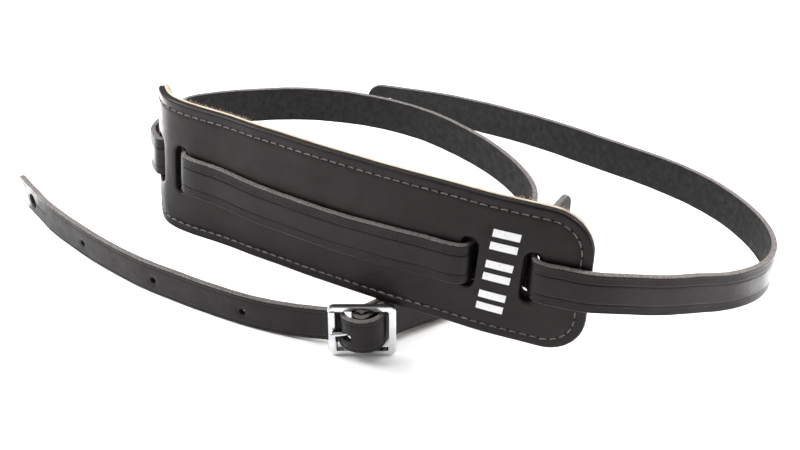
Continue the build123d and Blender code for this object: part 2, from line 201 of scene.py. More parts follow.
# ---- Curves ----------------------------------------------------------------------------
class Route:
    """Smooth curve through points, read by distance along it."""

    def __init__(self, points):
        nodes = np.array(points, float)
        chords = np.linalg.norm(np.diff(nodes, axis=0), axis=1)
        knots = np.concatenate(([0.0], np.cumsum(chords)))
        bends = self.second_derivatives(nodes, chords)
        fine = np.arange(0.0, knots[-1], ROUTE_STEP)
        piece = np.clip(np.searchsorted(knots, fine, side="right") - 1, 0, len(chords) - 1)
        width = chords[piece][:, None]
        after = (fine - knots[piece])[:, None] / width
        before = 1 - after
        curve = before * nodes[piece] + after * nodes[piece + 1]
        curve += width ** 2 / 6 * (
            (before ** 3 - before) * bends[piece] + (after ** 3 - after) * bends[piece + 1]
        )
        self.samples = np.vstack([curve, nodes[-1:]])
        steps = np.linalg.norm(np.diff(self.samples, axis=0), axis=1)
        self.distances = np.concatenate(([0.0], np.cumsum(steps)))
        self.length = self.distances[-1]

    @staticmethod
    def second_derivatives(nodes, chords):
        count = len(nodes)
        matrix = np.eye(count)
        right_side = np.zeros((count, 3))
        for i in range(1, count - 1):
            matrix[i, i - 1] = chords[i - 1]
            matrix[i, i] = 2 * (chords[i - 1] + chords[i])
            matrix[i, i + 1] = chords[i]
            slope_after = (nodes[i + 1] - nodes[i]) / chords[i]
            slope_before = (nodes[i] - nodes[i - 1]) / chords[i - 1]
            right_side[i] = 6 * (slope_after - slope_before)
        return np.linalg.solve(matrix, right_side)

    def at(self, distance):
        columns = [np.interp(distance, self.distances, self.samples[:, axis]) for axis in range(3)]
        return np.stack(columns, axis=-1)

    def leftwards(self, distance):
        """Horizontal unit vectors to the left of travel."""
        distance = np.asarray(distance, float)
        low = np.clip(distance - TANGENT_REACH, 0, self.length)
        high = np.clip(distance + TANGENT_REACH, 0, self.length)
        along = self.at(high) - self.at(low)
        left = np.stack([-along[..., 1], along[..., 0], np.zeros_like(along[..., 0])], axis=-1)
        return left / np.linalg.norm(left, axis=-1, keepdims=True)


def read_table(table, place):
    """Straight-line reading of a short (place, value) table."""
    return np.interp(place, [row[0] for row in table], [row[1] for row in table])


def up_vectors(lean_table, distance):
    slope = np.tan(np.radians(read_table(lean_table, distance)))
    return np.stack([slope, np.zeros_like(slope), np.ones_like(slope)], axis=-1)


def place(route, lean_table, distance, height, left_offset):
    """Points beside a route: this far along it, up from it and to its left."""
    distance = np.asarray(distance, float)
    side = np.asarray(left_offset, float)[..., None] * route.leftwards(distance)
    rise = np.asarray(height, float)[..., None] * up_vectors(lean_table, distance)
    return route.at(distance) + side + rise


def slot_places(pad):
    right = [(distance, SLOT_LEAN) for distance in RIGHT_SLOTS]
    left = [(pad.length - distance, 0.0) for distance in LEFT_SLOTS]
    return right + left


def front_slots():
    """Slots of the front leather: distance, turn, middle height, slot height and width."""
    return [(*slot, PAD_HEIGHT / 2, SLOT_HEIGHT, SLOT_WIDTH) for slot in slot_places(pad_route)]


def lining_slots():
    """The lining's slots are tight round the strap."""
    slots = []
    for number, (distance, turned) in enumerate(slot_places(pad_route)):
        side = 1 if number % 2 == 0 else -1
        middle = read_table(STRAP_ON_PAD, distance) + LONG_WIDTH / 2
        place_along = distance + side * LINING_SLOT_SHIFT
        slots.append((place_along, turned, middle, LINING_SLOT_HEIGHT, LINING_SLOT_WIDTH))
    return slots


def weave_through_pad(pad):
    """The long strap's way through the pad's four slots, front to back and front again."""
    front = -(STRAP_THICKNESS / 2 + LAYER_GAP)
    back = PAD_THICKNESS + STRAP_THICKNESS / 2 + LAYER_GAP
    reach = CROSSING_REACH
    bend = CROSSING_BEND
    shares = ((-reach, 0.0), (-bend, 0.14), (0.0, 0.5), (bend, 0.86), (reach, 1.0))
    slots = [distance for distance, turned in slot_places(pad)]

    def beside(distance, depth):
        return tuple(place(pad, PAD_LEAN, distance, read_table(STRAP_ON_PAD, distance), -depth))

    def crossing(centre, start, end):
        return [beside(centre + along, start + share * (end - start)) for along, share in shares]

    def flat_run(start, end, depth, count):
        step = (end - start) / (count + 1)
        return [beside(start + step * (i + 1), depth) for i in range(count)]

    points = flat_run(-4, slots[0] - reach, front, 2)
    points += crossing(slots[0], front, back)
    points += flat_run(slots[0] + reach, slots[1] - reach, back, 2)
    points += crossing(slots[1], back, front)
    points += flat_run(slots[1] + reach, slots[2] - reach, front, 9)
    points += crossing(slots[2], front, back)
    points += flat_run(slots[2] + reach, slots[3] - reach, back, 1)
    points += crossing(slots[3], back, front)
    return points


def at_buckle(points):
    return [(BUCKLE_X + u, BUCKLE_Y + v, z) for u, v, z in points]


pad_route = Route(PAD_LINE)
long_route = Route(
    LONG_FAR_RUN + weave_through_pad(pad_route) + LONG_BOW_AND_BACK + at_buckle(LONG_AT_BUCKLE)
)
short_route = Route(SHORT_FREE_RUN + at_buckle(SHORT_AT_BUCKLE) + SHORT_TAIL)


# ---- Materials -------------------------------------------------------------------------
class Shader:
    """A node material, with short calls for the nodes it is made of."""

    def __init__(self, name, roughness, metallic=0.0, **constants):
        self.material = bpy.data.materials.new(name)
        self.material.use_nodes = True
        self.tree = self.material.node_tree
        self.surface = self.tree.nodes["Principled BSDF"]
        self.surface.inputs["Roughness"].default_value = roughness
        self.surface.inputs["Metallic"].default_value = metallic
        for socket, value in constants.items():
            self.surface.inputs[socket.replace("_", " ")].default_value = value
        self.coordinates = self.tree.nodes.new("ShaderNodeTexCoord").outputs["Object"]

    def link(self, start, end):
        self.tree.links.new(start, end)

    def stretched(self, scale):
        mapping = self.tree.nodes.new("ShaderNodeMapping")
        mapping.inputs["Scale"].default_value = scale
        self.link(self.coordinates, mapping.inputs["Vector"])
        return mapping.outputs["Vector"]

    def noise(self, scale, detail=4.0, distortion=0.0, vector=None):
        node = self.tree.nodes.new("ShaderNodeTexNoise")
        node.inputs["Scale"].default_value = scale
        node.inputs["Detail"].default_value = detail
        node.inputs["Distortion"].default_value = distortion
        self.link(vector or self.coordinates, node.inputs["Vector"])
        return node.outputs["Fac"]

    def cells(self, scale):
        node = self.tree.nodes.new("ShaderNodeTexVoronoi")
        node.inputs["Scale"].default_value = scale
        self.link(self.coordinates, node.inputs["Vector"])
        return node.outputs["Distance"]

    def spread(self, value, low, high, start=0.3, end=0.7):
        """Stretch a texture's middle range over low to high."""
        node = self.tree.nodes.new("ShaderNodeMapRange")
        node.inputs["From Min"].default_value = start
        node.inputs["From Max"].default_value = end
        node.inputs["To Min"].default_value = low
        node.inputs["To Max"].default_value = high
        self.link(value, node.inputs["Value"])
        return node.outputs["Result"]

    def colours(self, value, *stops):
        """Colour ramp over a value; each stop is (position, (r, g, b))."""
        node = self.tree.nodes.new("ShaderNodeValToRGB")
        ramp = node.color_ramp
        while len(ramp.elements) < len(stops):
            ramp.elements.new(0.5)
        for element, (position, colour) in zip(ramp.elements, stops):
            element.position = position
            element.color = (*colour, 1.0)
        self.link(value, node.inputs["Fac"])
        self.link(node.outputs["Color"], self.surface.inputs["Base Color"])

    def vary_roughness(self, value):
        self.link(value, self.surface.inputs["Roughness"])

    def bump(self, height, distance, strength=1.0):
        node = self.tree.nodes.new("ShaderNodeBump")
        node.inputs["Strength"].default_value = strength
        node.inputs["Distance"].default_value = distance
        previous = self.surface.inputs["Normal"].links
        if previous:
            self.link(previous[0].from_socket, node.inputs["Normal"])
        self.link(height, node.inputs["Height"])
        self.link(node.outputs["Normal"], self.surface.inputs["Normal"])


def leather_grain(name, dark, light, gloss_low, gloss_high, wrinkle):
    """Black dyed grain leather: fine pores, soft wrinkles and a few rubbed patches."""
    shader = Shader(name, 0.4, Specular_IOR_Level=0.24, Specular_Tint=(1.0, 0.9, 0.9, 1.0))
    patches = shader.noise(38.0, 5.0, 0.4)
    shader.colours(patches, (0.3, dark), (0.75, light))
    rub = shader.noise(160.0, 6.0, 0.2)
    shader.vary_roughness(shader.spread(rub, gloss_low, gloss_high))
    pores = shader.cells(1500.0)
    shader.bump(pores, 0.00006, 0.35)
    wrinkles = shader.noise(420.0, 6.0, 0.6)
    shader.bump(wrinkles, wrinkle, 0.6)
    return shader.material


def leather_flesh():
    """Rough underside of the straps, with loose dark fibres."""
    shader = Shader("strap_flesh_side", 0.85, Specular_IOR_Level=0.3)
    fibres = shader.noise(1500.0, 8.0, 0.6)
    shader.colours(fibres, (0.3, (0.004, 0.0036, 0.004)), (0.55, (0.01, 0.0092, 0.0098)),
                   (0.8, (0.032, 0.03, 0.031)))
    shader.vary_roughness(shader.spread(shader.noise(300.0), 0.62, 0.9))
    shader.bump(fibres, 0.0005, 0.75)
    shader.bump(shader.noise(240.0, 5.0), 0.0006, 0.5)
    return shader.material


def leather_edge(name, dark, light):
    """Cut edge: fibres dyed unevenly. Holes get a near-black copy of it as painted shade."""
    shader = Shader(name, 0.8, Specular_IOR_Level=0.3)
    fibres = shader.noise(1400.0, 8.0, 0.5)
    shader.colours(fibres, (0.3, dark), (0.72, light))
    shader.vary_roughness(shader.spread(shader.noise(500.0), 0.65, 0.95))
    shader.bump(fibres, 0.0004, 0.8)
    return shader.material


def suede():
    """Tan suede lining with a short nap."""
    shader = Shader("suede_nap", 0.95, Specular_IOR_Level=0.2, Sheen_Weight=0.35,
                    Sheen_Roughness=0.5)
    clouds = shader.noise(70.0, 7.0, 0.5)
    shader.colours(clouds, (0.28, (0.33, 0.235, 0.155)), (0.5, (0.5, 0.4, 0.3)),
                   (0.75, (0.68, 0.59, 0.48)))
    nap = shader.noise(2200.0, 6.0, 0.4)
    shader.vary_roughness(shader.spread(nap, 0.82, 1.0))
    shader.bump(nap, 0.0004, 0.7)
    shader.bump(shader.noise(260.0, 5.0), 0.0005, 0.4)
    return shader.material


def thread_cord():
    """Waxed brown-grey thread, twisted."""
    shader = Shader("waxed_thread", 0.55, Specular_IOR_Level=0.4)
    shader.colours(shader.noise(700.0, 4.0), (0.3, (0.06, 0.055, 0.053)),
                   (0.7, (0.23, 0.21, 0.2)))
    strands = shader.noise(2600.0, 3.0)
    shader.vary_roughness(shader.spread(strands, 0.45, 0.75))
    shader.bump(strands, 0.0002, 0.6)
    return shader.material


def chrome():
    """Polished chrome with hairline scratches and faint handling marks."""
    shader = Shader("polished_chrome", 0.12, 1.0)
    smears = shader.noise(180.0, 5.0)
    shader.colours(smears, (0.25, (0.62, 0.62, 0.64)), (0.75, (0.86, 0.86, 0.87)))
    shader.vary_roughness(shader.spread(shader.noise(520.0, 4.0), 0.07, 0.22))
    scratches = shader.noise(30.0, 6.0, 0.0, shader.stretched((8.0, 8.0, 190.0)))
    shader.bump(scratches, 0.00002, 0.4)
    return shader.material


def foil_print():
    """Off-white foil, a little worn."""
    shader = Shader("white_foil", 0.4)
    wear = shader.noise(900.0, 8.0, 0.4)
    shader.colours(wear, (0.25, (0.55, 0.54, 0.53)), (0.38, (0.86, 0.86, 0.85)),
                   (0.8, (0.93, 0.93, 0.92)))
    shader.vary_roughness(shader.spread(wear, 0.3, 0.55))
    shader.bump(wear, 0.00005, 0.5)
    return shader.material


def studio_floor():
    shader = Shader("studio_floor", 0.75, Specular_IOR_Level=0.2)
    shader.colours(shader.noise(6.0, 3.0), (0.2, (0.93, 0.93, 0.93)), (0.8, (0.96, 0.96, 0.96)))
    return shader.material


long_grain = leather_grain("strap_grain", (0.003, 0.0026, 0.0028), (0.007, 0.0062, 0.0066),
                           0.3, 0.46, 0.00022)
short_grain = leather_grain("adjuster_grain", (0.0045, 0.004, 0.0042), (0.012, 0.0108, 0.0112),
                            0.36, 0.54, 0.00035)
pad_grain = leather_grain("pad_grain", (0.0032, 0.0024, 0.0026), (0.0075, 0.0058, 0.0062),
                          0.34, 0.5, 0.00018)
flesh = leather_flesh()
strap_edge = leather_edge("strap_cut_edge", (0.045, 0.04, 0.04), (0.24, 0.22, 0.21))
pad_edge = leather_edge("pad_cut_edge", (0.003, 0.0025, 0.0025), (0.014, 0.012, 0.011))
suede_nap = suede()
thread = thread_cord()
chrome_metal = chrome()
foil = foil_print()
# Near-black walls for holes and cut recesses are painted shade, far darker than the real strap edge.
hole_wall_painted_shade = leather_edge("hole_wall_painted_shade", (0.002, 0.0018, 0.0018), (0.008, 0.007, 0.007))
strap_materials = {
    "long": (long_grain, flesh, strap_edge, hole_wall_painted_shade),
    "short": (short_grain, flesh, strap_edge, hole_wall_painted_shade),
}


# ---- Meshes ----------------------------------------------------------------------------
def make_mesh(name, points, faces, materials, face_materials=None):
    """Closed, smooth mesh from points in millimetres on the routes' plan."""
    metres = (np.asarray(points, float) + SHIFT) * MM
    mesh = bpy.data.meshes.new(name)
    mesh.from_pydata(metres.tolist(), [], faces)
    for material in materials:
        mesh.materials.append(material)
    if face_materials is not None:
        mesh.polygons.foreach_set("material_index", np.asarray(face_materials, np.int32))
    mesh.validate()
    shape = bmesh.new()
    shape.from_mesh(mesh)
    bmesh.ops.recalc_face_normals(shape, faces=shape.faces)
    shape.to_mesh(mesh)
    shape.free()
    mesh.shade_smooth()
    mesh.set_sharp_from_angle(angle=SHARP_ANGLE)
    piece = bpy.data.objects.new(name, mesh)
    bpy.context.scene.collection.objects.link(piece)
    return piece


def cut_away(piece, cutters):
    """Take closed cutters out of a piece; cut faces keep the cutter's material number."""
    for cutter in cutters:
        modifier = piece.modifiers.new("cut", "BOOLEAN")
        modifier.operation = "DIFFERENCE"
        modifier.solver = "EXACT"
        modifier.object = cutter
    bpy.context.view_layer.update()
    graph = bpy.context.evaluated_depsgraph_get()
    result = bpy.data.meshes.new_from_object(piece.evaluated_get(graph))
    piece.modifiers.clear()
    piece.data = result
    for cutter in cutters:
        bpy.data.objects.remove(cutter)
    piece.data.set_sharp_from_angle(angle=SHARP_ANGLE)


def through_cutter(route, lean_table, distance, height, outline, left_size=1.0, right_size=1.0):
    """Prism through a strap; the outline is (along, up) points, scaled on each side."""
    reach = STRAP_THICKNESS / 2 + CUTTER_MARGIN

    def side(size, left_offset):
        along = distance + size * np.array([point[0] for point in outline])
        up = height + size * np.array([point[1] for point in outline])
        return place(route, lean_table, along, up, np.full(len(outline), left_offset))

    return prism(side(right_size, -reach), side(left_size, reach))


def prism(near, far):
    """Closed cutter between two outlines; its faces carry the near-black hole-wall material, painted
    shade inside the cut.
    """
    count = len(near)
    sides = [(i, (i + 1) % count, count + (i + 1) % count, count + i) for i in range(count)]
    faces = [tuple(range(count)), tuple(range(count, 2 * count))] + sides
    return make_mesh("cutter", np.vstack([near, far]), faces, [hole_wall_painted_shade] * 4, [PAINTED_SHADE_WALL] * len(faces))


def round_outline(radius, count=28):
    turns = np.arange(count) * 2 * math.pi / count
    return [(radius * math.cos(turn), radius * math.sin(turn)) for turn in turns]


def button_outline():
    """Round hole with a slit, as one outline."""
    half = BUTTON_SLIT_WIDTH / 2
    start = math.asin(half / BUTTON_HOLE_RADIUS)
    turns = np.linspace(start, 2 * math.pi - start, 30)
    ring = [(BUTTON_HOLE_RADIUS * math.cos(t), BUTTON_HOLE_RADIUS * math.sin(t)) for t in turns]
    slit = [(BUTTON_SLIT_LENGTH * share, -half) for share in (0.4, 0.6, 0.8)]
    shoulder = BUTTON_SLIT_LENGTH - 0.3
    slit += [(shoulder, -half), (BUTTON_SLIT_LENGTH, 0), (shoulder, half)]
    slit += [(BUTTON_SLIT_LENGTH * share, half) for share in (0.8, 0.6, 0.4)]
    return ring + slit


# ---- Straps ----------------------------------------------------------------------------
def rounded_drop(from_edge, radius):
    """How far a rounded edge falls below the flat face, this far in from the edge."""
    inside = np.clip(radius - from_edge, 0, radius)
    return radius - np.sqrt(np.maximum(radius ** 2 - inside ** 2, 0))


def tip_inset(distance, length, radius):
    """How far a rounded tip cuts into the strap's edges, this far along it."""
    from_end = np.minimum(distance, length - distance)
    inside = np.clip(radius - from_end, 0, radius)
    return radius - np.sqrt(np.maximum(radius ** 2 - inside ** 2, 0))


def across(width, fine_zone, fine_step, coarse_step):
    """Heights across a strap, close together near both edges."""
    edge = [0.0, 0.12, 0.32, 0.6, 0.9]
    edge += list(np.arange(0.9 + fine_step, fine_zone, fine_step))
    middle = list(np.linspace(fine_zone, width / 2, round((width / 2 - fine_zone) / coarse_step) + 1))
    lower = edge + middle
    upper = [width - height for height in reversed(lower[:-1])]
    return np.array(lower + upper)


def rope_press(distance, height, from_edge):
    """Depth pressed into the long strap's grain side: slanted rope marks and a groove."""
    slant = np.where(height < LONG_WIDTH / 2, height, height - LONG_WIDTH)
    phase = ((distance + slant * 0.9) / HATCH_PITCH) % 1.0
    marks = np.exp(-(((phase - 0.5) / 0.17) ** 2))
    band = (from_edge > HATCH_FROM) & (from_edge < HATCH_TO)
    groove = np.exp(-(((from_edge - GROOVE_FROM_EDGE) / 0.36) ** 2))
    return HATCH_DEPTH * marks * band + GROOVE_DEPTH * groove


def crease_press(distance, height, from_edge):
    """Depth pressed into the adjuster strap's grain side: one crease line by each edge."""
    line = np.exp(-(((from_edge - CREASE_FROM_EDGE) / 0.34) ** 2))
    return CREASE_DEPTH * line


def hole_dimple(distance, height, holes):
    """The grain side sinks a little around each punched hole."""
    depth = np.zeros_like(distance + height)
    for place_along, place_up, radius in holes:
        away = np.hypot(distance - place_along, height - place_up) - radius
        depth += 0.3 * np.exp(-((np.maximum(away, 0) / 0.9) ** 2))
    return depth


def strap_distances(length, tip_radius):
    """Places of a strap's sections along it, closer together at the rounded tips."""
    ends = tip_radius * (1 - np.cos(np.radians(np.linspace(4, 90, 18))))
    inner = np.arange(tip_radius + 0.2, length - tip_radius - 0.2, STATION_STEP)
    return np.concatenate([ends, inner, np.sort(length - ends)])


def edge_wander(distances, seed):
    """How far a hand-cut strap's edges stray from straight."""
    wander = 0.13 * np.sin(distances / 11.3 + seed) + 0.08 * np.sin(distances / 4.7 + 2 * seed)
    wander += 0.05 * np.sin(distances / 1.9 + 3 * seed)
    return wander


def make_strap(name, route, width, lean_table, grain_side, press, holes, materials, seed):
    """Strap with rounded, slightly uneven edges; grain_side is +1 when the grain faces left."""
    tip_radius = width / 2 - 0.5
    distances = strap_distances(route.length, tip_radius)
    heights = across(width, 5.4, 0.36, 1.1)
    inset = tip_inset(distances, route.length, tip_radius)[:, None]
    wander = edge_wander(distances, seed)
    along = distances[:, None] + np.zeros((1, len(heights)))
    share = heights[None, :] / width
    up = inset + share * (width - 2 * inset) + wander[:, None] * (share - 0.5)
    from_edge = np.minimum(heights, width - heights)[None, :]
    half = STRAP_THICKNESS / 2 - STRAP_SKIN
    grain_depth = half - rounded_drop(from_edge, STRAP_EDGE_RADIUS)
    grain_depth = grain_depth - press(along, heights[None, :], from_edge)
    grain_depth = grain_depth - hole_dimple(along, up, holes)
    uneven = 0.05 * np.sin(along / 2.3 + 5 * share + seed) * np.sin(along / 7.1 + 3 * share)
    flesh_depth = half - rounded_drop(from_edge, 0.45) + uneven
    grain_points = place(route, lean_table, along, up, grain_side * grain_depth)
    flesh_points = place(route, lean_table, along, up, -grain_side * flesh_depth)
    ring = np.concatenate([grain_points, flesh_points[:, ::-1]], axis=1)
    stations, around = ring.shape[:2]
    faces, kinds = ring_faces(stations, around, len(heights))
    return make_mesh(name, ring.reshape(-1, 3), faces, materials, kinds)


def ring_faces(stations, around, grain_count):
    """Quads between neighbouring sections, and a cap at each end."""
    faces = []
    kinds = []
    for station in range(stations - 1):
        start = station * around
        for i in range(around):
            follow = (i + 1) % around
            faces.append((start + i, start + follow, start + around + follow, start + around + i))
            if i < 2 or grain_count - 4 < i < grain_count + 1 or i > around - 3:
                kinds.append(EDGE)
            else:
                kinds.append(GRAIN if i < grain_count - 1 else FLESH)
    last = (stations - 1) * around
    for i in range(grain_count - 1):
        mirror = around - 1 - i
        for base in (0, last):
            faces.append((base + i, base + i + 1, base + mirror - 1, base + mirror))
            kinds.append(EDGE)
    return faces, kinds


def oval_outline(length, radius, count=12):
    """Long slot outline, upright."""
    reach = length / 2 - radius
    top = np.linspace(0, math.pi, count)
    bottom = np.linspace(math.pi, 2 * math.pi, count)
    points = [(radius * math.cos(t), reach + radius * math.sin(t)) for t in top]
    return points + [(radius * math.cos(t), -reach + radius * math.sin(t)) for t in bottom]


def flat_cutter(centre, x_direction, length, radius, reach):
    """Oval prism at a place on the plan, across a horizontal x_direction, running sideways."""
    across_way = np.array([x_direction[0], x_direction[1], 0.0])
    across_way /= np.linalg.norm(across_way)
    through = np.array([-across_way[1], across_way[0], 0.0])
    outline = oval_outline(length, radius)
    base = np.array([centre + across_way * up + np.array([0, 0, side]) for side, up in outline])
    return prism(base - through * reach, base + through * reach)


def beside_bar(offset):
    """Place at the buckle's middle height, this far from its centre bar."""
    return np.array([BUCKLE_X + offset[0], BUCKLE_Y + offset[1], MID_HEIGHT])


def box_cutter(centre, size):
    half = np.array(size) / 2
    corners = [(-1, -1), (1, -1), (1, 1), (-1, 1)]
    low = np.array([(x * half[0], y * half[1], -half[2]) for x, y in corners]) + centre
    high = np.array([(x * half[0], y * half[1], half[2]) for x, y in corners]) + centre
    return prism(low, high)


def make_long_strap():
    button = (LONG_BUTTON_FROM_TIP, LONG_WIDTH / 2, BUTTON_HOLE_RADIUS)
    piece = make_strap("long_strap_leather", long_route, LONG_WIDTH, LONG_LEAN, 1, rope_press,
                       [button], strap_materials["long"], 1.3)
    cutters = [
        through_cutter(long_route, LONG_LEAN, button[0], button[1], button_outline(),
                       right_size=PUNCH_TAPER),
        box_cutter(beside_bar(PRONG_ROOM_AT), PRONG_ROOM),
    ]
    cut_away(piece, cutters)
    return piece


def make_short_strap():
    button = (SHORT_BUTTON_FROM_TIP, SHORT_WIDTH / 2, BUTTON_HOLE_RADIUS)
    round_holes = [(distance, ADJUST_HOLE_HEIGHT, ADJUST_HOLE_RADIUS) for distance in ADJUST_HOLES]
    piece = make_strap("adjuster_strap_leather", short_route, SHORT_WIDTH, NO_LEAN, -1,
                       crease_press, [button] + round_holes, strap_materials["short"], 2.1)
    cutters = [through_cutter(short_route, NO_LEAN, button[0], button[1], button_outline())]
    for distance, height, radius in round_holes:
        outline = round_outline(radius)
        hole = through_cutter(short_route, NO_LEAN, distance, height, outline, PUNCH_TAPER)
        cutters.append(hole)
    cutters.append(flat_cutter(beside_bar(PRONG_HOLE_AT), PRONG_HOLE_ACROSS, PRONG_HOLE_LENGTH,
                               ADJUST_HOLE_RADIUS, PRONG_HOLE_REACH))
    cut_away(piece, cutters)
    return piece


# ---- Pad -------------------------------------------------------------------------------
def rounded_rectangle(length, height, radius, step):
    """Outline points of a rounded rectangle around its centre, at an even step."""
    corners = [(1, 1, 0), (-1, 1, 90), (-1, -1, 180), (1, -1, 270)]
    points = []
    for x_sign, y_sign, start in corners:
        centre_x = x_sign * (length / 2 - radius)
        centre_y = y_sign * (height / 2 - radius)
        for turn in np.radians(np.linspace(start, start + 90, 10)):
            points.append((centre_x + radius * math.cos(turn), centre_y + radius * math.sin(turn)))
    return evenly(points, step)


def evenly(points, step):
    """A closed outline read again at an even step."""
    closed = np.array(points + points[:1])
    lengths = np.linalg.norm(np.diff(closed, axis=0), axis=1)
    distances = np.concatenate(([0.0], np.cumsum(lengths)))
    count = max(12, round(distances[-1] / step))
    places = np.arange(count) * distances[-1] / count
    return [
        (np.interp(p, distances, closed[:, 0]), np.interp(p, distances, closed[:, 1]))
        for p in places
    ]


def pad_outline(inset, step):
    """Outline of the pad in (distance, height), moved in by inset, or out where it is negative."""
    length = pad_route.length - 2 * inset
    height = PAD_HEIGHT - 2 * inset
    radius = max(PAD_CORNER_RADIUS - inset, 2.0)
    points = rounded_rectangle(length, height, radius, step)
    return [(pad_route.length / 2 + x, PAD_HEIGHT / 2 + y) for x, y in points]


def slot_outline(slot, inset, step):
    """Outline of one slot in (distance, height), moved outwards by inset."""
    distance, turned, middle, slot_height, slot_width = slot
    points = oval_outline(slot_height + 2 * inset, slot_width / 2 + inset, 14)
    turn = math.radians(turned)
    placed = []
    for x, y in evenly(points, step):
        along = x * math.cos(turn) + y * math.sin(turn)
        up = -x * math.sin(turn) + y * math.cos(turn)
        placed.append((distance + along, middle + up))
    return placed


def inside_distance(along, up):
    """How far points are inside the pad's outline; negative outside it."""
    half_length = pad_route.length / 2
    dx = np.abs(along - half_length) - (half_length - PAD_CORNER_RADIUS)
    dy = np.abs(up - PAD_HEIGHT / 2) - (PAD_HEIGHT / 2 - PAD_CORNER_RADIUS)
    outside = np.hypot(np.maximum(dx, 0), np.maximum(dy, 0))
    return PAD_CORNER_RADIUS - outside - np.minimum(np.maximum(dx, dy), 0)


def slot_distance(along, up, slot):
    """How far points are from one slot's rim; negative inside it."""
    distance, turned, middle, slot_height, slot_width = slot
    turn = math.radians(turned)
    x = (along - distance) * math.cos(turn) - (up - middle) * math.sin(turn)
    y = (along - distance) * math.sin(turn) + (up - middle) * math.cos(turn)
    reach = slot_height / 2 - slot_width / 2
    return np.hypot(x, np.maximum(np.abs(y) - reach, 0)) - slot_width / 2


def pad_sheet(slots):
    """Flat triangle mesh of the pad with its slots: points and faces."""
    rings = [0.0, 0.15, 0.45, 0.95, 1.6, 3.6, 4.1, STITCH_INSET, 5.1, 5.6]
    rim_step = PAD_GRID * 0.8
    loops = [pad_outline(inset, rim_step) for inset in rings]
    for slot in slots:
        loops += [slot_outline(slot, inset, rim_step * 0.6) for inset in (0.0, 0.15, 0.45, 0.95)]
    points = []
    edges = []
    for loop in loops:
        base = len(points)
        points += loop
        edges += [(base + i, base + (i + 1) % len(loop)) for i in range(len(loop))]
    for along in np.arange(PAD_GRID, pad_route.length, PAD_GRID):
        for up in np.arange(PAD_GRID, PAD_HEIGHT, PAD_GRID):
            clear = inside_distance(along, up) > 6.3
            if clear and all(slot_distance(along, up, slot) > 1.5 for slot in slots):
                points.append((along, up))
    flat = [Vector(point) for point in points]
    vertices, made_edges, faces = delaunay_2d_cdt(flat, edges, [], 0, 1e-6)[:3]
    vertices = np.array([tuple(v) for v in vertices])
    kept = []
    for face in faces:
        middle_along, middle_up = vertices[list(face)].mean(axis=0)
        in_slot = any(slot_distance(middle_along, middle_up, slot) < 0 for slot in slots)
        if inside_distance(middle_along, middle_up) > 0 and not in_slot:
            kept.append(tuple(face))
    return vertices, kept


def open_edges(faces):
    """Directed edges used by one triangle only: the rims of a flat sheet."""
    seen = {}
    for face in faces:
        for start, end in zip(face, face[1:] + face[:1]):
            key = (min(start, end), max(start, end))
            seen[key] = None if key in seen else (start, end)
    return [edge for edge in seen.values() if edge]


def thick_sheet(name, flat, faces, front_depth, back_depth, materials):
    """Closed slab over a flat pad sheet; materials are for front, back, outer rim and slots."""
    along = flat[:, 0]
    up = flat[:, 1]
    front = place(pad_route, PAD_LEAN, along, up, -front_depth)
    back = place(pad_route, PAD_LEAN, along, up, -back_depth)
    count = len(flat)
    slab = list(faces)
    kinds = [0] * len(faces)
    slab += [tuple(count + i for i in reversed(face)) for face in faces]
    kinds += [1] * len(faces)
    for start, end in open_edges(faces):
        slab.append((end, start, count + start, count + end))
        kinds.append(2 if inside_distance(along[start], up[start]) < 2 else 3)
    return make_mesh(name, np.vstack([front, back]), slab, materials, kinds)


def rim_distance(flat, slots):
    """Distance from the nearest cut edge, outline or slot."""
    away = inside_distance(flat[:, 0], flat[:, 1])
    for slot in slots:
        away = np.minimum(away, slot_distance(flat[:, 0], flat[:, 1], slot))
    return np.maximum(away, 0)


def pad_crown(flat):
    """Gentle fullness inside the seam, and the seam's pulled-in line, in millimetres."""
    inset = inside_distance(flat[:, 0], flat[:, 1])
    crown = 0.45 * np.clip((inset - STITCH_INSET) / 14, 0, 1)
    seam = 0.26 * np.exp(-(((inset - STITCH_INSET) / 0.55) ** 2))
    unevenness = 0.16 * np.sin(flat[:, 0] / 17.0 + 0.6) * np.sin(flat[:, 1] / 11.0 + 1.1)
    return crown - seam + unevenness * np.clip(inset / 8, 0, 1)


def make_pad_front():
    """Front leather, gently crowned, with rounded cut edges."""
    slots = front_slots()
    flat, faces = pad_sheet(slots)
    drop = rounded_drop(rim_distance(flat, slots), PAD_EDGE_RADIUS)
    front_depth = drop - pad_crown(flat)
    back_depth = np.full(len(flat), PANEL_THICKNESS - 0.02)
    return thick_sheet("pad_front_leather", flat, faces, front_depth, back_depth,
                       (pad_grain, pad_edge, pad_edge, pad_edge))


def make_pad_lining():
    """Suede with a ragged, skived edge; it stands out past the front leather on the left."""
    slots = lining_slots()
    flat, faces = pad_sheet(slots)
    inset = inside_distance(flat[:, 0], flat[:, 1])
    left_end = np.clip((flat[:, 0] - pad_route.length + 30) / 25, 0, 1)
    ragged = 0.25 * np.sin(flat[:, 0] * 2.1) * np.sin(flat[:, 1] * 1.7 + 0.4)
    overhang = np.where(inset < 0.05, ragged - 0.35 + 0.8 * left_end, 0.0)
    away = flat - np.array([pad_route.length / 2, PAD_HEIGHT / 2])
    away[:, 0] *= PAD_HEIGHT / pad_route.length
    away /= np.maximum(np.hypot(away[:, 0], away[:, 1]), 0.001)[:, None]
    grown = flat + away * overhang[:, None]
    nap = 0.1 * np.sin(flat[:, 0] * 1.3) * np.sin(flat[:, 1] * 1.6)
    front_depth = np.full(len(flat), PANEL_THICKNESS)
    back_depth = PAD_THICKNESS - rounded_drop(rim_distance(flat, slots), 1.3) + nap
    return thick_sheet("pad_suede_lining", grown, faces, front_depth, back_depth,
                       (pad_edge, suede_nap, suede_nap, pad_edge))


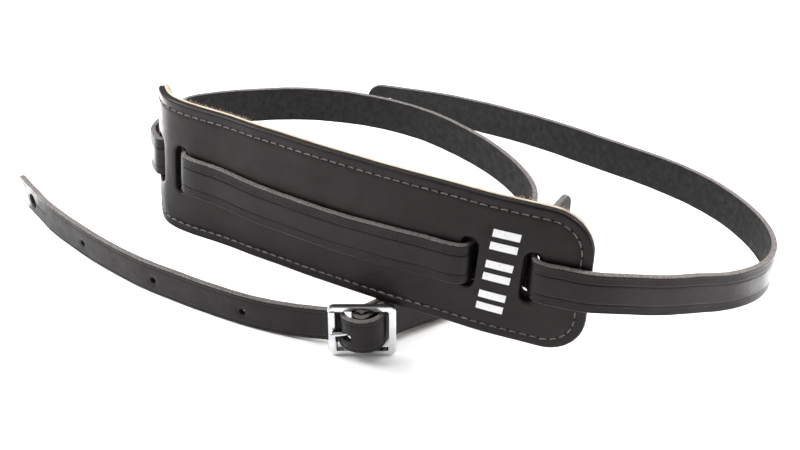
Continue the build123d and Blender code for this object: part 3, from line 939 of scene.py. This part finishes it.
def tube_faces(base, sections, around):
    """Quads of a tube, and a flat cap at each end."""
    faces = []
    for section in range(sections - 1):
        start = base + section * around
        for i in range(around):
            follow = (i + 1) % around
            faces.append((start + i, start + follow, start + around + follow, start + around + i))
    faces.append(tuple(base + i for i in reversed(range(around))))
    last = base + (sections - 1) * around
    faces.append(tuple(last + i for i in range(around)))
    return faces


def add_strand(points, faces, along, up):
    """One loose fibre, a thin closed tapered tube, standing out from the pad's edge."""
    start_along = along + random.uniform(-0.8, 0.8)
    outward = np.array([
        (along - pad_route.length / 2) * PAD_HEIGHT / pad_route.length,
        up - PAD_HEIGHT / 2,
    ])
    outward /= np.linalg.norm(outward)
    lean = random.uniform(-0.9, 0.9)
    direction = outward + lean * np.array([-outward[1], outward[0]])
    reach = random.uniform(0.2, 0.7)
    depth = random.uniform(PANEL_THICKNESS + 0.1, PAD_THICKNESS - 0.3)
    droop = random.uniform(-0.5, 0.9)
    base = len(points)
    for share, radius in ((0.0, 0.07), (0.5, 0.055), (1.0, 0.02)):
        here_along = start_along + direction[0] * reach * share
        here_up = up + direction[1] * reach * share
        here_depth = depth + droop * share ** 2
        centre = place(pad_route, PAD_LEAN, here_along, here_up, -here_depth)
        for turn in (0.0, 2.1, 4.2):
            points.append(centre + radius * np.array([math.cos(turn), math.sin(turn), 0.3]))
    faces += tube_faces(base, 3, 3)


def make_fuzz():
    """Loose suede fibres all along the pad's edge, three at each place."""
    points = []
    faces = []
    for along, up in pad_outline(-0.3, FUZZ_STEP):
        for strand in range(3):
            add_strand(points, faces, along, up)
    return make_mesh("pad_suede_fuzz", points, faces, (suede_nap,))


# ---- Stitches --------------------------------------------------------------------------
def add_awl_hole(points, faces, centre, along, outward):
    """Dimple where the thread goes in: a flattened closed bead set in the leather, near black as
    painted shade in the hole.
    """
    side = np.cross(outward, along)
    base = len(points)
    around = 8
    for rise, radius in ((-0.25, 0.2), (-0.08, AWL_RADIUS), (0.05, AWL_RADIUS), (0.09, 0.3)):
        for i in range(around):
            turn = 2 * math.pi * i / around
            offset = along * (radius * math.cos(turn)) + side * (0.8 * radius * math.sin(turn))
            points.append(centre + outward * rise + offset)
    faces += tube_faces(base, 4, around)


def add_stitch(points, faces, origin, along, outward):
    """One arched thread stitch with two twisted plies, its ends sunk in the leather."""
    side = np.cross(outward, along)
    sections = 9
    around = 8
    base = len(points)
    for section in range(sections):
        share = section / (sections - 1)
        run = (share - 0.5) * STITCH_LENGTH
        rise = 0.34 * math.sin(math.pi * share) - 0.16
        radius = STITCH_RADIUS * (0.55 + 0.45 * math.sin(math.pi * share) ** 0.5)
        for i in range(around):
            turn = 2 * math.pi * i / around
            ply = radius * (1 + 0.16 * math.cos(2 * turn + 9.0 * share))
            offset = side * (ply * math.cos(turn)) + outward * (ply * 0.8 * math.sin(turn))
            points.append(origin + along * run + outward * rise + offset)
    faces += tube_faces(base, sections, around)


def seam_frame(route, lean_table, distance, height, left_offset, angle):
    """Centre, direction and outward normal of a stitch on a strap or the pad."""
    origin = place(route, lean_table, distance, height, left_offset)
    ahead = place(route, lean_table, distance + 0.5, height, left_offset)
    behind = place(route, lean_table, distance - 0.5, height, left_offset)
    flat_way = ahead - behind
    flat_way /= np.linalg.norm(flat_way)
    up = up_vectors(lean_table, np.asarray(float(distance)))
    up = up / np.linalg.norm(up)
    along = flat_way * math.cos(angle) + up * math.sin(angle)
    along /= np.linalg.norm(along)
    outward = np.cross(up, flat_way)
    outward = outward / np.linalg.norm(outward)
    return origin, along, -outward


def make_pad_seam(name, left_offset, outward_sign):
    """Stitches and their awl holes, right round one face of the pad."""
    points = []
    faces = []
    kinds = []
    seam = pad_outline(STITCH_INSET, STITCH_PITCH)
    count = len(seam)
    for i, (distance, height) in enumerate(seam):
        before = seam[i - 1]
        after = seam[(i + 1) % count]
        angle = math.atan2(after[1] - before[1], after[0] - before[0])
        angle += random.uniform(-0.06, 0.06)
        origin, along, left = seam_frame(
            pad_route, PAD_LEAN, distance, height, left_offset, angle
        )
        add_stitch(points, faces, origin, along, left * outward_sign)
        kinds += [0] * (len(faces) - len(kinds))
        hole = origin + along * (STITCH_PITCH / 2)
        add_awl_hole(points, faces, hole, along, left * outward_sign)
        kinds += [1] * (len(faces) - len(kinds))
    return make_mesh(name, points, faces, (thread, hole_wall_painted_shade), kinds)


def make_fold_seam(name, start, step):
    """Two rows of stitches that close the long strap's folded end."""
    points = []
    faces = []
    for row in FOLD_SEAM_ROWS:
        for number in range(FOLD_SEAM_STITCHES):
            origin, along, left = seam_frame(
                long_route, LONG_LEAN, start + number * step, row, STRAP_THICKNESS / 2 - 0.05, 0.0
            )
            add_stitch(points, faces, origin, along, left)
    return make_mesh(name, points, faces, (thread,))


# ---- Print on the pad ------------------------------------------------------------------
def make_print():
    """Three plain pairs of bars, slanting with the pad's right slots."""
    points = []
    faces = []
    for pair in range(3):
        for bar in range(2):
            middle_up = BAR_LOWEST + BAR_PAIR_PITCH * pair + BAR_PITCH * bar
            base = len(points)
            for column in range(BAR_COLUMNS + 1):
                run = (column / BAR_COLUMNS - 0.5) * BAR_LENGTH
                for edge in (-0.5, 0.5):
                    up = middle_up + edge * BAR_HEIGHT
                    along = BARS_ALONG + run - (up - PAD_HEIGHT / 2) * BAR_LEAN
                    spot = np.array([[along, up]])
                    height = float(pad_crown(spot)[0])
                    for depth in (-height - 0.14, -height + 0.3):
                        points.append(place(pad_route, PAD_LEAN, along, up, -depth))
            faces += bar_faces(base, BAR_COLUMNS)
    return make_mesh("pad_bar_print", points, faces, (foil,))


def bar_faces(base, columns):
    """Faces of a thin bar whose sections are four points: low out, low in, high out, high in."""
    around = (0, 1, 3, 2)
    faces = []
    for column in range(columns):
        start = base + 4 * column
        for i in range(4):
            first = around[i]
            second = around[(i + 1) % 4]
            faces.append((start + first, start + second, start + 4 + second, start + 4 + first))
    faces.append(tuple(base + i for i in around))
    faces.append(tuple(base + 4 * columns + i for i in reversed(around)))
    return faces


# ---- Build -----------------------------------------------------------------------------
def declare(piece, nodes=()):
    """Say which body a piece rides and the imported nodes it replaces."""
    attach(piece, "strap")
    if nodes:
        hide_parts(*nodes)
    return piece


declare(make_long_strap(), ["long_strap"])
declare(make_short_strap(), ["adjuster_strap"])
pad_front = declare(make_pad_front(), ["pad_front_panel"])
pad_lining = declare(make_pad_lining(), ["pad_lining"])
declare(make_fuzz())
declare(make_pad_seam("pad_front_seam", 0.0, 1), ["pad_front_stitches"])
declare(make_pad_seam("pad_back_seam", -PAD_THICKNESS, -1), ["pad_back_stitches"])
tail_start = long_route.length - FOLD_SEAM_FROM_END
main_start = long_route.length - 2 * FOLD_LENGTH + FOLD_SEAM_FROM_END
declare(make_fold_seam("fold_tail_seam", tail_start, STITCH_PITCH), ["fold_back_stitches"])
declare(make_fold_seam("fold_main_seam", main_start, -STITCH_PITCH),
        ["fold_front_stitches"])
declare(make_print())

for node in ("buckle_frame", "buckle_roller", "buckle_prong"):
    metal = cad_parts[node]
    metal.data.materials.clear()
    metal.data.materials.append(chrome_metal)


# ---- Stage -----------------------------------------------------------------------------
def make_floor():
    bpy.ops.mesh.primitive_grid_add(x_subdivisions=8, y_subdivisions=8, size=6.0)
    floor = bpy.context.object
    floor.name = "studio_floor"
    floor.data.materials.append(studio_floor())


def soft_light(name, location, target, width, height, watts):
    """Rectangular lamp aimed at a target; places and sizes in metres."""
    lamp = bpy.data.lights.new(name, "AREA")
    lamp.shape = "RECTANGLE"
    lamp.size = width
    lamp.size_y = height
    lamp.energy = watts
    holder = bpy.data.objects.new(name, lamp)
    holder.location = location
    aim = Vector(target) - Vector(location)
    holder.rotation_euler = aim.to_track_quat("-Z", "Y").to_euler()
    bpy.context.scene.collection.objects.link(holder)
    return holder


def floor_card(name, location, width, height, watts):
    """Bright card lying on the floor, seen only as a reflection in the leather."""
    above = Vector(location) + Vector((0, 0, 1))
    soft_light(name, location, above, width, height, watts).visible_camera = False


def make_world():
    world = bpy.data.worlds.new("studio")
    world.use_nodes = True
    background = world.node_tree.nodes["Background"]
    background.inputs["Color"].default_value = (1.0, 1.0, 1.0, 1.0)
    background.inputs["Strength"].default_value = 0.3
    bpy.context.scene.world = world


def make_camera():
    camera = bpy.data.cameras.new("camera")
    camera.lens = CAMERA_LENS
    camera.sensor_width = 36.0
    camera.clip_start = 0.01
    holder = bpy.data.objects.new("camera", camera)
    holder.location = Vector((np.array(CAMERA_PLACE) + SHIFT) * MM)
    holder.rotation_euler = Euler((math.radians(CAMERA_PITCH), 0.0, 0.0))
    bpy.context.scene.collection.objects.link(holder)
    bpy.context.scene.camera = holder


make_floor()
soft_light("left_pool", (-0.5, 0.0, 0.42), (-0.42, 0.0, 0.0), 0.3, 0.4, 7.0)
soft_light("right_pool", (0.52, 0.0, 0.42), (0.42, -0.02, 0.0), 0.3, 0.4, 6.0)
floor_card("left_card", (-0.225, 0.09, 0.001), 0.13, 0.14, 0.45)
floor_card("right_card", (0.27, -0.02, 0.001), 0.12, 0.2, 0.3)
soft_light("top_softbox", (0.0, 0.3, 1.0), (0.0, 0.0, 0.0), 1.0, 0.7, 5.0)
make_world()
make_camera()
bpy.context.scene.view_settings.view_transform = "Standard"
